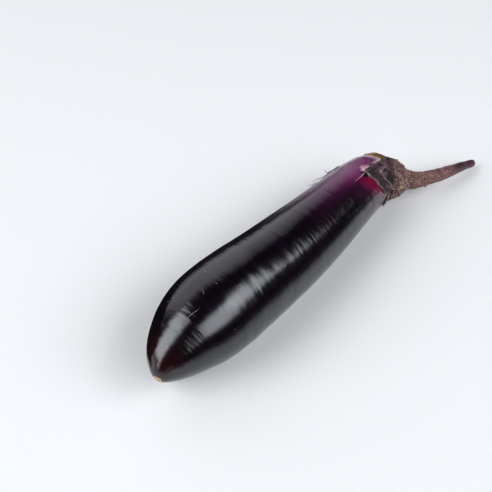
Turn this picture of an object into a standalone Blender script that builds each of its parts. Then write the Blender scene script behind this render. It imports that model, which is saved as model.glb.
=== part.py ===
"""Long purple eggplant with its calyx and stem.

The fruit lies along +X from its blossom end to its stem and rests on a small
flat of its belly at z = 0. The origin is under the middle of the whole piece.
"""

import math

import bpy
from mathutils import Vector

MM = 0.001

# The fruit's outline: distance along the spine from the blossom end, radius.
FRUIT_OUTLINE = (
    (0.0, 0.0),
    (1.4, 4.2),
    (4.5, 7.8),
    (9.0, 11.6),
    (16.0, 15.7),
    (28.0, 20.7),
    (39.0, 23.3),
    (51.0, 24.1),
    (66.0, 23.8),
    (86.0, 22.9),
    (110.0, 21.7),
    (136.0, 19.8),
    (158.0, 18.1),
    (176.0, 16.8),
    (185.0, 15.8),
    (192.0, 13.4),
    (197.5, 9.9),
    (201.0, 5.6),
    (202.4, 0.0),
)
# The line that the middle of the fruit follows.
SPINE = (
    (-129.2, -1.7, 17.6),
    (-113.0, 1.2, 20.6),
    (-94.0, 2.4, 23.5),
    (-68.0, 2.6, 23.8),
    (-45.0, 2.6, 22.55),
    (-20.0, 2.8, 21.35),
    (5.0, 3.6, 20.8),
    (30.0, 5.3, 20.3),
    (46.0, 6.3, 19.5),
    (58.0, 5.0, 18.5),
    (67.0, 1.2, 17.3),
    (73.0, -4.6, 16.2),
)
OUTLINE_STEPS = 4
FRUIT_SEGMENTS = 48
SPINE_STEPS = 16

# The calyx is a lobed cap over the fruit's shoulder, turned about its own axis.
CALYX_CENTRE = Vector((64.0, 2.2, 17.2)) * MM
CALYX_AXIS = Vector((0.70, -0.70, -0.12)).normalized()
CALYX_GAP = 0.3 * MM
CALYX_THICKNESS = 1.6 * MM
CROWN_OUTLINE = (
    (-3.0, 0.0),
    (-3.0, 12.6),
    (0.0, 13.3),
    (3.4, 13.0),
    (7.8, 11.4),
    (12.0, 8.8),
    (14.0, 7.0),
    (15.4, 6.1),
    (16.6, 5.8),
    (16.6, 0.0),
)
CROWN_SEGMENTS = 40
# One rounded notch between two lobes: turn about the axis, tilt from the axis
# to the middle of the notch, half of its width as an angle. All in degrees.
# The widest one is where a lobe has withered away.
NOTCHES = (
    (127.0, 114.0, 35.0),
    (190.0, 112.0, 36.0),
    (248.0, 110.0, 36.0),
    (343.0, 124.0, 51.0),
)
NOTCH_LENGTH = 120.0 * MM
BACK_LENGTH = 260.0 * MM
NOTCH_SEGMENTS = 24
LOBE_REACH = 118.0

# The stem: point on its middle line, radius there.
STEM_LINE = (
    ((76.0, -9.8, 15.15), 5.7),
    ((80.4, -12.8, 14.3), 4.9),
    ((87.0, -15.6, 12.9), 4.4),
    ((97.0, -18.6, 11.0), 4.0),
    ((111.0, -21.2, 8.0), 3.5),
    ((120.0, -22.9, 6.0), 3.0),
    ((126.0, -24.1, 4.7), 2.8),
    ((128.0, -24.5, 4.3), 2.3),
    ((128.9, -24.7, 4.1), 1.1),
)
STEM_SEGMENTS = 6
STEM_STEPS = 4

FLOOR_CUT = Vector((120.0, 60.0, 20.0)) * MM

SKIN_COLOUR = (0.012, 0.004, 0.014, 1.0)
CALYX_COLOUR = (0.105, 0.070, 0.078, 1.0)
STEM_COLOUR = (0.130, 0.062, 0.060, 1.0)


def clear_scene():
    """Take every object out of the scene."""
    for item in list(bpy.data.objects):
        bpy.data.objects.remove(item, do_unlink=True)


def new_collection(name):
    """Add a collection to the scene."""
    collection = bpy.data.collections.new(name)
    bpy.context.scene.collection.children.link(collection)
    return collection


def new_material(name, colour, roughness):
    """Make a plain Principled material."""
    material = bpy.data.materials.new(name)
    material.use_nodes = True
    shader = material.node_tree.nodes["Principled BSDF"]
    shader.inputs["Base Color"].default_value = colour
    shader.inputs["Roughness"].default_value = roughness
    shader.inputs["Metallic"].default_value = 0.0
    return material


def guide(item):
    """Mark an object as a cutter or guide that is never part of the eggplant."""
    item.hide_render = True
    item.display_type = "WIRE"
    return item


def smooth_curve(name, points, steps, collection):
    """Draw a smooth Bezier curve through points given in millimetres."""
    curve = bpy.data.curves.new(name, "CURVE")
    curve.dimensions = "3D"
    curve.twist_mode = "Z_UP"
    curve.resolution_u = steps
    spline = curve.splines.new("BEZIER")
    spline.bezier_points.add(len(points) - 1)
    for knot, point in zip(spline.bezier_points, points):
        knot.co = Vector(point) * MM
        knot.handle_left_type = "AUTO"
        knot.handle_right_type = "AUTO"
    item = bpy.data.objects.new(name, curve)
    collection.objects.link(item)
    return item


def mesh_from(item, name):
    """Turn an evaluated object into a mesh."""
    bpy.context.view_layer.update()
    graph = bpy.context.evaluated_depsgraph_get()
    mesh = bpy.data.meshes.new_from_object(item.evaluated_get(graph))
    mesh.name = name
    return mesh


def rounded_outline(name, outline, collection):
    """Draw an outline with its two ends square to the axis that it is turned about."""
    points = [(along, out, 0.0) for along, out in outline]
    item = smooth_curve(name, points, OUTLINE_STEPS, collection)
    knots = item.data.splines[0].bezier_points
    for knot, neighbour in ((knots[0], knots[1]), (knots[-1], knots[-2])):
        knot.handle_left_type = "FREE"
        knot.handle_right_type = "FREE"
        reach = Vector((0.0, neighbour.co.y * 0.5, 0.0))
        knot.handle_left = knot.co + reach
        knot.handle_right = knot.co + reach
    return item


def turn_about_x(item, segments):
    """Turn an object's outline about its X axis."""
    screw = item.modifiers.new("turn", "SCREW")
    screw.axis = "X"
    screw.steps = segments
    screw.render_steps = segments
    screw.use_merge_vertices = True
    screw.merge_threshold = 0.00001
    screw.use_normal_calculate = True
    screw.use_normal_flip = False


def turned_fruit(name, collection, spine):
    """Turn the fruit's outline and bend it along its spine."""
    outline = rounded_outline(name + "_outline", FRUIT_OUTLINE, collection)
    mesh = mesh_from(outline, name)
    bpy.data.objects.remove(outline)
    item = bpy.data.objects.new(name, mesh)
    collection.objects.link(item)
    turn_about_x(item, FRUIT_SEGMENTS)
    bend = item.modifiers.new("bend", "CURVE")
    bend.object = spine
    bend.deform_axis = "POS_X"
    return item


def swell(item, distance):
    """Push an object's whole surface outwards."""
    push = item.modifiers.new("swell", "DISPLACE")
    push.direction = "NORMAL"
    push.mid_level = 0.0
    push.strength = distance


def cut(item, cutter, operation="DIFFERENCE"):
    """Combine an object with another."""
    boolean = item.modifiers.new(cutter.name, "BOOLEAN")
    boolean.operation = operation
    boolean.solver = "EXACT"
    boolean.object = cutter


def aimed(direction):
    """Return the rotation that turns +Z to a direction."""
    return direction.to_track_quat("Z", "Y").to_euler()


def move_to(item, collection):
    """Keep an object in one collection only."""
    for old in list(item.users_collection):
        old.objects.unlink(item)
    collection.objects.link(item)


def cone_from_centre(name, direction, half_angle, length, collection):
    """Add a cone with its tip at the calyx's centre, opening in a direction."""
    bpy.ops.mesh.primitive_cone_add(
        vertices=NOTCH_SEGMENTS,
        radius1=0.0,
        radius2=length * math.tan(math.radians(half_angle)),
        depth=length,
        location=CALYX_CENTRE + direction * length / 2.0,
        rotation=aimed(direction),
    )
    item = bpy.context.object
    item.name = name
    move_to(item, collection)
    return guide(item)


def notch_direction(turn, tilt):
    """Return the direction to a notch, from its turn about and tilt from the axis."""
    up = Vector((0.0, 0.0, 1.0))
    side = CALYX_AXIS.cross(up).normalized()
    top = side.cross(CALYX_AXIS)
    around = math.radians(turn)
    out = side * math.cos(around) + top * math.sin(around)
    lean = math.radians(tilt)
    return CALYX_AXIS * math.cos(lean) + out * math.sin(lean)


def turned_crown(collection):
    """Turn the thick crown of the calyx, where the stem grows from it."""
    mesh = bpy.data.meshes.new("crown")
    points = [(0.0, out * MM, along * MM) for along, out in CROWN_OUTLINE]
    edges = [(i, i + 1) for i in range(len(points) - 1)]
    mesh.from_pydata(points, edges, [])
    item = bpy.data.objects.new("crown", mesh)
    collection.objects.link(item)
    turn_about_x(item, CROWN_SEGMENTS)
    item.modifiers["turn"].axis = "Z"
    item.location = CALYX_CENTRE
    item.rotation_euler = aimed(CALYX_AXIS)
    return guide(item)


def build_fruit(collection, cutters, spine):
    """Build the fruit with the small flat that it rests on."""
    item = turned_fruit("fruit", collection, spine)
    bpy.ops.mesh.primitive_cube_add(size=1.0, location=(0.0, 0.0, -FLOOR_CUT.z / 2.0))
    floor = bpy.context.object
    floor.name = "floor_cut"
    floor.scale = FLOOR_CUT
    floor.location.x = -60.0 * MM
    move_to(floor, cutters)
    cut(item, guide(floor))
    return item


def build_calyx(collection, cutters, spine):
    """Build the calyx: a shell over the fruit's shoulder, cut into lobes."""
    item = turned_fruit("calyx", collection, spine)
    swell(item, CALYX_GAP + CALYX_THICKNESS)
    cut(item, turned_crown(cutters), "UNION")
    hollow = guide(turned_fruit("calyx_hollow", cutters, spine))
    swell(hollow, CALYX_GAP)
    cut(item, hollow)
    back_angle = 180.0 - LOBE_REACH
    cut(item, cone_from_centre("back", -CALYX_AXIS, back_angle, BACK_LENGTH, cutters))
    for number, (turn, tilt, width) in enumerate(NOTCHES):
        name = "notch_" + str(number)
        way = notch_direction(turn, tilt)
        cut(item, cone_from_centre(name, way, width, NOTCH_LENGTH, cutters))
    return item


def build_stem(collection, cutters):
    """Build the tapering stem, flat where it meets the crown and round at its tip."""
    points = [point for point, radius in STEM_LINE]
    line = smooth_curve("stem_line", points, STEM_STEPS, cutters)
    line.data.bevel_depth = MM
    line.data.bevel_resolution = STEM_SEGMENTS
    line.data.use_fill_caps = True
    for knot, (_, radius) in zip(line.data.splines[0].bezier_points, STEM_LINE):
        knot.radius = radius
    first = line.data.splines[0].bezier_points[0]
    first.handle_right_type = "FREE"
    first.handle_right = first.co + CALYX_AXIS * 2.0 * MM
    mesh = mesh_from(line, "stem")
    guide(line)
    item = bpy.data.objects.new("stem", mesh)
    collection.objects.link(item)
    weld = item.modifiers.new("weld", "WELD")
    weld.merge_threshold = 0.00001
    return item


def finish(item, material):
    """Shade an object smoothly and give it its material."""
    item.data.materials.clear()
    item.data.materials.append(material)
    item.data.shade_smooth()


def main():
    """Build the eggplant."""
    clear_scene()
    parts = new_collection("eggplant")
    cutters = new_collection("cutters")
    spine = guide(smooth_curve("spine", SPINE, SPINE_STEPS, cutters))
    fruit = build_fruit(parts, cutters, spine)
    calyx = build_calyx(parts, cutters, spine)
    stem = build_stem(parts, cutters)
    finish(fruit, new_material("skin", SKIN_COLOUR, 0.2))
    finish(calyx, new_material("calyx", CALYX_COLOUR, 0.8))
    finish(stem, new_material("stem", STEM_COLOUR, 0.75))


main()
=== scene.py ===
"""Looks of a long purple eggplant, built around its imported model.

The fruit, the calyx and the stem are each modelled again as fine meshes that
stand for the plain solids, and dressed with procedural finishes.
"""

import logging
import math
from dataclasses import dataclass, field
from enum import Enum
from typing import Iterable, Sequence

import bpy
import numpy as np
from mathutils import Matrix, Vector, noise
from mathutils.bvhtree import BVHTree


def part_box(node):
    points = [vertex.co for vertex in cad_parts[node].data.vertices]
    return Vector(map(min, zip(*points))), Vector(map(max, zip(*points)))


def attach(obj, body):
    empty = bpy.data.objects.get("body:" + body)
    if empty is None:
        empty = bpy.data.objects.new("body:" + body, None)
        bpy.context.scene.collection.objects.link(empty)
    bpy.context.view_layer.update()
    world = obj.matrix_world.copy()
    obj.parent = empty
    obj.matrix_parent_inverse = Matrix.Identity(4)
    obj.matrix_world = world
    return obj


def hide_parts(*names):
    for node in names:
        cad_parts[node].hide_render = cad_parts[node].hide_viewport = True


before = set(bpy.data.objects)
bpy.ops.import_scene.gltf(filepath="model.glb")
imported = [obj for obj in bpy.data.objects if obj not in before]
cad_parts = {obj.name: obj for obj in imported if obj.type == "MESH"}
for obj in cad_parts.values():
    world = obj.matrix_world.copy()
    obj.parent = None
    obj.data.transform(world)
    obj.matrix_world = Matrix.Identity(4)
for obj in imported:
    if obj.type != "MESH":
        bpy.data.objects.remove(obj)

MM = 0.001
WELD = 0.002 * MM
TINY = 1e-9
LOG = logging.getLogger("eggplant")

# Sockets of a Mix node that blends colours.
MIX_FACTOR = 0
MIX_FIRST = 6
MIX_SECOND = 7
MIX_RESULT = 2

Pair = tuple[float, float]
Point = tuple[float, float, float]
Colour = tuple[float, float, float, float]
Thread = tuple[tuple[Point, ...], float]


class Body(Enum):
    """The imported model's bodies."""

    ROOT = "root"


class Node(Enum):
    """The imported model's nodes."""

    FRUIT = "fruit"
    CALYX = "calyx"
    STEM = "stem"


class Slot(Enum):
    """The record's material slots."""

    SKIN = "skin"
    CALYX = "calyx"
    STEM = "stem"


class Axis(Enum):
    """The axes along which a flag can clear."""

    X = "X"
    Y = "Y"
    Z = "Z"


# --------------------------------------------------------------------------
# Helpers for meshes
# --------------------------------------------------------------------------


def deselect_all() -> None:
    """Leave edit mode and deselect every object."""
    if bpy.context.object and bpy.context.object.mode != "OBJECT":
        bpy.ops.object.mode_set(mode="OBJECT")
    bpy.ops.object.select_all(action="DESELECT")


def activate(piece: bpy.types.Object) -> None:
    """Make one object the only selected one, and the active one."""
    deselect_all()
    piece.select_set(True)
    bpy.context.view_layer.objects.active = piece


def edit_all(piece: bpy.types.Object) -> None:
    """Open a mesh in edit mode with everything selected."""
    activate(piece)
    bpy.ops.object.mode_set(mode="EDIT")
    bpy.ops.mesh.select_all(action="SELECT")


def points_of(piece: bpy.types.Object) -> np.ndarray:
    """Return a mesh's vertex positions as an array of shape (n, 3)."""
    flat = np.empty(len(piece.data.vertices) * 3, np.float32)
    piece.data.vertices.foreach_get("co", flat)
    return flat.reshape(-1, 3).astype(float)


def normals_of(piece: bpy.types.Object) -> np.ndarray:
    """Return a mesh's vertex normals as an array of shape (n, 3)."""
    flat = np.empty(len(piece.data.vertices) * 3, np.float32)
    piece.data.vertex_normals.foreach_get("vector", flat)
    return flat.reshape(-1, 3).astype(float)


def move_points(piece: bpy.types.Object, points: np.ndarray) -> None:
    """Give a mesh new vertex positions.

    Args:
        piece: The mesh object.
        points: Array of shape (n, 3), in metres.
    """
    piece.data.vertices.foreach_set("co", points.astype(np.float32).ravel())
    piece.data.update()


def store(piece: bpy.types.Object, name: str, values: np.ndarray) -> None:
    """Keep one number per vertex as an attribute that a finish can read.

    Args:
        piece: The mesh object.
        name: The attribute's name.
        values: One value per vertex.
    """
    attribute = piece.data.attributes.new(name, "FLOAT", "POINT")
    attribute.data.foreach_set("value", values.astype(np.float32))


def store_place(piece: bpy.types.Object, name: str, places: np.ndarray) -> None:
    """Keep one place per vertex as an attribute that a finish can read."""
    attribute = piece.data.attributes.new(name, "FLOAT_VECTOR", "POINT")
    attribute.data.foreach_set("vector", places.astype(np.float32).ravel())


def apply_modifier(piece: bpy.types.Object, kind: str, **settings: object) -> None:
    """Add a modifier to an object and apply it.

    Args:
        piece: The mesh object.
        kind: The modifier's type.
        **settings: The modifier's properties.
    """
    activate(piece)
    modifier = piece.modifiers.new(kind.lower(), kind)
    for name, value in settings.items():
        setattr(modifier, name, value)
    bpy.ops.object.modifier_apply(modifier=modifier.name)


def refine(piece: bpy.types.Object, levels: int) -> None:
    """Smooth a mesh by subdividing it.

    Args:
        piece: The mesh object.
        levels: How many times its faces are split.
    """
    apply_modifier(piece, "SUBSURF", levels=levels, render_levels=levels)


def freeze(piece: bpy.types.Object) -> None:
    """Move an object's place, turn and size into its mesh."""
    activate(piece)
    bpy.ops.object.transform_apply(location=True, rotation=True, scale=True)


def close_up(piece: bpy.types.Object) -> None:
    """Merge a mesh's doubles and turn its faces outwards."""
    edit_all(piece)
    bpy.ops.mesh.remove_doubles(threshold=WELD)
    bpy.ops.mesh.normals_make_consistent(inside=False)
    bpy.ops.object.mode_set(mode="OBJECT")


def noise_field(points: np.ndarray, scale: Sequence[float] | float) -> np.ndarray:
    """Read a smooth noise at each point.

    Args:
        points: Array of shape (n, 3), in metres.
        scale: Waves per metre, the same in all directions or one for each axis.

    Returns:
        One value between about -1 and 1 for each point.
    """
    scaled = points * np.asarray(scale, float)
    return np.array([noise.noise(Vector(point)) for point in scaled])


def circle_of(angles: np.ndarray) -> np.ndarray:
    """Return each angle's place on the unit circle, as an array of shape (n, 3)."""
    return np.stack([np.cos(angles), np.sin(angles), np.zeros(len(angles))], 1)


def from_angles(azimuth: float, elevation: float) -> Vector:
    """Return the direction of a place in the studio.

    Args:
        azimuth: Angle from -Y towards +X, in degrees.
        elevation: Angle over the floor, in degrees.

    Returns:
        The unit direction towards it.
    """
    turn, lean = math.radians(azimuth), math.radians(elevation)
    level = math.cos(lean)
    return Vector((math.sin(turn) * level, -math.cos(turn) * level, math.sin(lean)))


def smooth_step(values: np.ndarray, low: float, high: float) -> np.ndarray:
    """Rise smoothly from 0 at low to 1 at high."""
    part = np.clip((values - low) / (high - low), 0.0, 1.0)
    return part * part * (3.0 - 2.0 * part)


def smooth_max(first: np.ndarray, second: np.ndarray, blend: float) -> np.ndarray:
    """Return the larger of two arrays, with a rounded change-over.

    Args:
        first: One array.
        second: The other array.
        blend: How wide the change-over is.

    Returns:
        The blended array.
    """
    part = np.clip(0.5 + 0.5 * (first - second) / blend, 0.0, 1.0)
    return second + (first - second) * part + blend * part * (1.0 - part)


def smooth_line(points: Sequence[Sequence[float]], count: int) -> np.ndarray:
    """Draw a smooth line through points.

    Args:
        points: The points that it passes through.
        count: How many points it gets between two of them.

    Returns:
        Array of points along the line.
    """
    given = np.asarray(points, float)
    ends = np.vstack([2 * given[0] - given[1], given, 2 * given[-1] - given[-2]])
    part = np.linspace(0.0, 1.0, count, endpoint=False)[:, None]
    line = []
    for i in range(len(given) - 1):
        a, b, c, d = ends[i : i + 4]
        line.append(
            0.5
            * (
                2 * b
                + (c - a) * part
                + (2 * a - 5 * b + 4 * c - d) * part**2
                + (3 * b - a - 3 * c + d) * part**3
            )
        )
    return np.vstack(line + [given[-1:]])


def turn_outline(name: str, outline: np.ndarray, steps: int) -> bpy.types.Object:
    """Turn an outline about the X axis, as on a lathe.

    Args:
        name: The new object's name.
        outline: Rows of distance along the axis and radius, in metres.
        steps: How many faces go round.

    Returns:
        The closed turned mesh.
    """
    deselect_all()
    first = (outline[0][0], outline[0][1], 0.0)
    bpy.ops.mesh.primitive_plane_add(size=MM, location=first)
    piece = bpy.context.object
    piece.name = name
    bpy.ops.object.transform_apply(location=True)
    bpy.ops.object.mode_set(mode="EDIT")
    bpy.ops.mesh.merge(type="CENTER")
    for along, out in np.diff(outline, axis=0):
        bpy.ops.mesh.extrude_region_move(TRANSFORM_OT_translate={"value": (along, out, 0.0)})
    bpy.ops.mesh.select_all(action="SELECT")
    bpy.ops.mesh.spin(steps=steps, angle=math.tau, center=(0, 0, 0), axis=(1, 0, 0))
    bpy.ops.object.mode_set(mode="OBJECT")
    close_up(piece)
    return piece


def curve_through(name: str, points: Iterable[Sequence[float]]) -> bpy.types.Object:
    """Draw a smooth open curve.

    Args:
        name: The new object's name.
        points: The points that it passes through, in metres.

    Returns:
        The curve object.
    """
    deselect_all()
    bpy.ops.curve.primitive_bezier_curve_add()
    item = bpy.context.object
    item.name = name
    item.data.twist_mode = "Z_UP"
    item.data.splines.clear()
    spline = item.data.splines.new("BEZIER")
    places = list(points)
    spline.bezier_points.add(len(places) - 1)
    for knot, place in zip(spline.bezier_points, places):
        knot.co = place
        knot.handle_left_type = "AUTO"
        knot.handle_right_type = "AUTO"
    return item


def tube(
    name: str, points: Sequence[Sequence[float]], radii: Sequence[float], steps: int, sides: int
) -> bpy.types.Object:
    """Make a closed tube that follows a line.

    Args:
        name: The new object's name.
        points: Points on its middle line, in metres.
        radii: Its radius at each point, in metres.
        steps: Rings between two points.
        sides: How far each quarter of a ring is split.

    Returns:
        The tube as a closed mesh.
    """
    item = curve_through(name, points)
    item.data.resolution_u = steps
    item.data.bevel_depth = MM
    item.data.bevel_resolution = sides
    item.data.use_fill_caps = True
    for knot, radius in zip(item.data.splines[0].bezier_points, radii):
        knot.radius = radius / MM
    activate(item)
    bpy.ops.object.convert(target="MESH")
    piece = bpy.context.object
    close_up(piece)
    return piece


def join(name: str, pieces: Sequence[bpy.types.Object]) -> bpy.types.Object:
    """Join mesh objects into the first of them.

    Args:
        name: The joined object's name.
        pieces: The mesh objects.

    Returns:
        The joined object.
    """
    activate(pieces[0])
    for piece in pieces:
        piece.select_set(True)
    bpy.ops.object.join()
    pieces[0].name = name
    return pieces[0]


def tree_of(piece: bpy.types.Object) -> BVHTree:
    """Return a search tree of a mesh's faces."""
    piece.data.calc_loop_triangles()
    corners = [tuple(point) for point in points_of(piece)]
    faces = [tuple(triangle.vertices) for triangle in piece.data.loop_triangles]
    return BVHTree.FromPolygons(corners, faces)


def hand_over(piece: bpy.types.Object, material: bpy.types.Material) -> None:
    """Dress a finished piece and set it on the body.

    Args:
        piece: The finished mesh object.
        material: Its finish.
    """
    piece.data.materials.clear()
    piece.data.materials.append(material)
    activate(piece)
    bpy.ops.object.shade_smooth()
    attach(piece, Body.ROOT.value)
    LOG.info("%s: %d faces", piece.name, len(piece.data.polygons))


# --------------------------------------------------------------------------
# Finishes
# --------------------------------------------------------------------------


class Graph:
    """Builds one material's nodes around its Principled shader."""

    def __init__(self, name: str) -> None:
        """Start a material with that name."""
        self.material = bpy.data.materials.new(name)
        self.material.use_nodes = True
        self.nodes = self.material.node_tree.nodes
        self.links = self.material.node_tree.links
        self.shader = self.nodes["Principled BSDF"]

    def fill(self, socket: bpy.types.NodeSocket, value: object) -> None:
        """Link a socket to another, or set its value.

        Args:
            socket: The input socket.
            value: An output socket, or a plain value.
        """
        if isinstance(value, bpy.types.NodeSocket):
            self.links.new(value, socket)
        else:
            socket.default_value = value

    def surface(self, **values: object) -> None:
        """Set the shader's sockets, with _ for a space in their names."""
        for name, value in values.items():
            self.fill(self.shader.inputs[name.replace("_", " ")], value)

    def coordinates(self, scale: Point = (1.0, 1.0, 1.0)) -> bpy.types.NodeSocket:
        """Return the object's own coordinates, stretched by a scale."""
        source = self.nodes.new("ShaderNodeTexCoord")
        return self.stretched(source.outputs["Object"], scale)

    def stored_place(self, name: str, scale: Point) -> bpy.types.NodeSocket:
        """Return a place stored on the mesh, stretched by a scale."""
        node = self.nodes.new("ShaderNodeAttribute")
        node.attribute_name = name
        return self.stretched(node.outputs["Vector"], scale)

    def stretched(self, vector: bpy.types.NodeSocket, scale: Point) -> bpy.types.NodeSocket:
        """Stretch a vector.

        Args:
            vector: The vector's socket.
            scale: The stretch along each axis.

        Returns:
            The stretched vector's socket.
        """
        mapping = self.nodes.new("ShaderNodeMapping")
        mapping.inputs["Scale"].default_value = scale
        self.links.new(vector, mapping.inputs["Vector"])
        return mapping.outputs["Vector"]

    def attribute(self, name: str) -> bpy.types.NodeSocket:
        """Return a number stored on the mesh."""
        node = self.nodes.new("ShaderNodeAttribute")
        node.attribute_name = name
        return node.outputs["Fac"]

    def noise(
        self, vector: bpy.types.NodeSocket, scale: float, detail: float = 3.0, rough: float = 0.5
    ) -> bpy.types.NodeSocket:
        """Return a noise's factor.

        Args:
            vector: Where it is read.
            scale: Waves per metre.
            detail: How many finer layers it has.
            rough: How strong the finer layers are.

        Returns:
            The factor's socket.
        """
        node = self.nodes.new("ShaderNodeTexNoise")
        node.inputs["Scale"].default_value = scale
        node.inputs["Detail"].default_value = detail
        node.inputs["Roughness"].default_value = rough
        self.links.new(vector, node.inputs["Vector"])
        return node.outputs["Fac"]

    def cells(self, vector: bpy.types.NodeSocket, scale: float) -> bpy.types.NodeSocket:
        """Split space into cells.

        Args:
            vector: Where they are read.
            scale: Cells per metre.

        Returns:
            The socket of the distance to the nearest cell's middle.
        """
        node = self.nodes.new("ShaderNodeTexVoronoi")
        node.inputs["Scale"].default_value = scale
        self.links.new(vector, node.inputs["Vector"])
        return node.outputs["Distance"]

    def math(self, operation: str, first: object, second: object = 0.0) -> bpy.types.NodeSocket:
        """Combine two numbers.

        Args:
            operation: The Math node's operation.
            first: A socket or a number.
            second: A socket or a number.

        Returns:
            The result's socket.
        """
        node = self.nodes.new("ShaderNodeMath")
        node.operation = operation
        self.fill(node.inputs[0], first)
        self.fill(node.inputs[1], second)
        return node.outputs[0]

    def step(self, value: object, low: float, high: float) -> bpy.types.NodeSocket:
        """Go smoothly from 0 at one value to 1 at another.

        Args:
            value: The socket that is read.
            low: Where the result is 0. It may be the larger of the two.
            high: Where the result is 1.

        Returns:
            The result's socket.
        """
        node = self.nodes.new("ShaderNodeMapRange")
        node.interpolation_type = "SMOOTHSTEP"
        rising = low < high
        self.fill(node.inputs["Value"], value)
        self.fill(node.inputs["From Min"], min(low, high))
        self.fill(node.inputs["From Max"], max(low, high))
        self.fill(node.inputs["To Min"], 0.0 if rising else 1.0)
        self.fill(node.inputs["To Max"], 1.0 if rising else 0.0)
        return node.outputs["Result"]

    def mix(self, factor: object, first: object, second: object) -> bpy.types.NodeSocket:
        """Blend two colours.

        Args:
            factor: A socket or a number, 0 for the first colour and 1 for the second.
            first: A socket or a colour.
            second: A socket or a colour.

        Returns:
            The blended colour's socket.
        """
        node = self.nodes.new("ShaderNodeMix")
        node.data_type = "RGBA"
        self.fill(node.inputs[MIX_FACTOR], factor)
        self.fill(node.inputs[MIX_FIRST], first)
        self.fill(node.inputs[MIX_SECOND], second)
        return node.outputs[MIX_RESULT]

    def bump(
        self, height: bpy.types.NodeSocket, depth: float, before: object = None
    ) -> bpy.types.NodeSocket:
        """Roughen the surface by a height.

        Args:
            height: The height's socket, from 0 to 1.
            depth: How deep it is, in metres.
            before: The normal of an earlier bump, or none.

        Returns:
            The new normal's socket.
        """
        node = self.nodes.new("ShaderNodeBump")
        node.inputs["Distance"].default_value = depth
        self.links.new(height, node.inputs["Height"])
        if before is not None:
            self.links.new(before, node.inputs["Normal"])
        return node.outputs["Normal"]


@dataclass(frozen=True)
class SkinFinish:
    """Waxy skin: nearly black purple, with crimson and lilac beside the calyx, and a painted black
    shadow in the gap under the front lobe's tip.

    A reach is where a colour starts and where it is full, as distances from the
    calyx's rim in metres.
    """

    dark: Colour = (0.0011, 0.0003, 0.0012, 1.0)
    warm: Colour = (0.0130, 0.0015, 0.0012, 1.0)
    violet: Colour = (0.0062, 0.0010, 0.0068, 1.0)
    crimson: Colour = (0.1300, 0.0020, 0.0300, 1.0)
    plum: Colour = (0.0850, 0.0110, 0.0620, 1.0)
    lilac: Colour = (0.1400, 0.0270, 0.1000, 1.0)
    pale: Colour = (0.6200, 0.4300, 0.4600, 1.0)
    # black: painted shadow in the gap under the front lobe's tip, where the skin lies in shade.
    black: Colour = (0.0030, 0.0020, 0.0030, 1.0)
    plum_reach: Pair = (0.072, 0.006)
    lilac_reach: Pair = (0.020, 0.003)
    pale_reach: Pair = (0.0031, 0.0)
    dark_plum_reach: Pair = (0.030, 0.004)
    crimson_reach: Pair = (0.013, 0.001)
    raggedness: float = 0.012
    roughness: float = 0.175
    ripple_depth: float = 0.00015

    def material(self) -> bpy.types.Material:
        """Return the skin's material."""
        graph = Graph("skin_finish")
        graph.surface(
            Base_Color=self.colour(graph),
            Roughness=self.gloss(graph),
            Normal=self.ripples(graph),
            IOR=1.6,
            Coat_Weight=0.15,
            Coat_Roughness=0.06,
            Specular_Tint=(0.88, 0.94, 1.0, 1.0),
        )
        return graph.material

    def around(self, graph: Graph, stretch: float) -> bpy.types.NodeSocket:
        """Return coordinates that are drawn out around the fruit."""
        return graph.stored_place("straight", (1.0, stretch, stretch))

    def colour(self, graph: Graph) -> bpy.types.NodeSocket:
        """Return the skin's colour, which pales towards the calyx's rim."""
        bands = graph.noise(self.around(graph, 0.14), 330.0, 4.0, 0.6)
        cloud = graph.noise(self.around(graph, 0.6), 34.0, 3.0, 0.5)
        tint = graph.math("MULTIPLY", graph.step(bands, 0.42, 0.72), graph.step(cloud, 0.35, 0.62))
        base = graph.mix(tint, self.dark, self.violet)
        base = graph.mix(graph.attribute("warmth"), base, self.warm)
        rays = graph.noise(graph.stored_place("straight", (0.22, 1.0, 1.0)), 480.0, 4.0, 0.6)
        ragged = graph.math("MULTIPLY", graph.math("SUBTRACT", rays, 0.5), self.raggedness)
        away = graph.math("ADD", graph.attribute("rim_distance"), ragged)
        flush = graph.mix(graph.step(away, *self.dark_plum_reach), base, self.dark_plum())
        flush = graph.mix(graph.step(away, *self.crimson_reach), flush, self.crimson)
        bloom = graph.mix(graph.step(away, *self.plum_reach), base, self.plum)
        bloom = graph.mix(graph.step(away, *self.lilac_reach), bloom, self.lilac)
        bloom = graph.mix(graph.step(away, *self.pale_reach), bloom, self.pale)
        colour = graph.mix(graph.attribute("upper"), flush, bloom)
        # Painted shadow: the skin turns black in the gap under the front lobe's tip.
        return graph.mix(graph.attribute("gap"), colour, self.black)

    def dark_plum(self, share: float = 0.30) -> Colour:
        """Return the plum that fades into the dark skin below the crimson."""
        red, green, blue, alpha = self.plum
        return (red * share, green * share, blue * share, alpha)

    def gloss(self, graph: Graph) -> bpy.types.NodeSocket:
        """Return the skin's roughness, a little uneven where wax is rubbed off."""
        patches = graph.noise(graph.coordinates(), 110.0, 4.0, 0.6)
        return graph.math("ADD", self.roughness - 0.05, graph.math("MULTIPLY", patches, 0.10))

    def ripples(self, graph: Graph) -> bpy.types.NodeSocket:
        """Return the normal of the fine ripples that run around the fruit."""
        broad = graph.noise(self.around(graph, 0.20), 190.0, 2.0, 0.5)
        fine = graph.noise(self.around(graph, 0.12), 620.0, 3.0, 0.55)
        pores = graph.noise(graph.coordinates(), 1700.0, 2.0, 0.5)
        calm = graph.step(graph.noise(self.around(graph, 0.5), 60.0, 2.0, 0.5), 0.25, 0.65)
        normal = graph.bump(broad, self.ripple_depth * 2.0)
        normal = graph.bump(graph.math("MULTIPLY", fine, calm), self.ripple_depth * 1.4, normal)
        return graph.bump(pores, self.ripple_depth * 0.10, normal)


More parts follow.
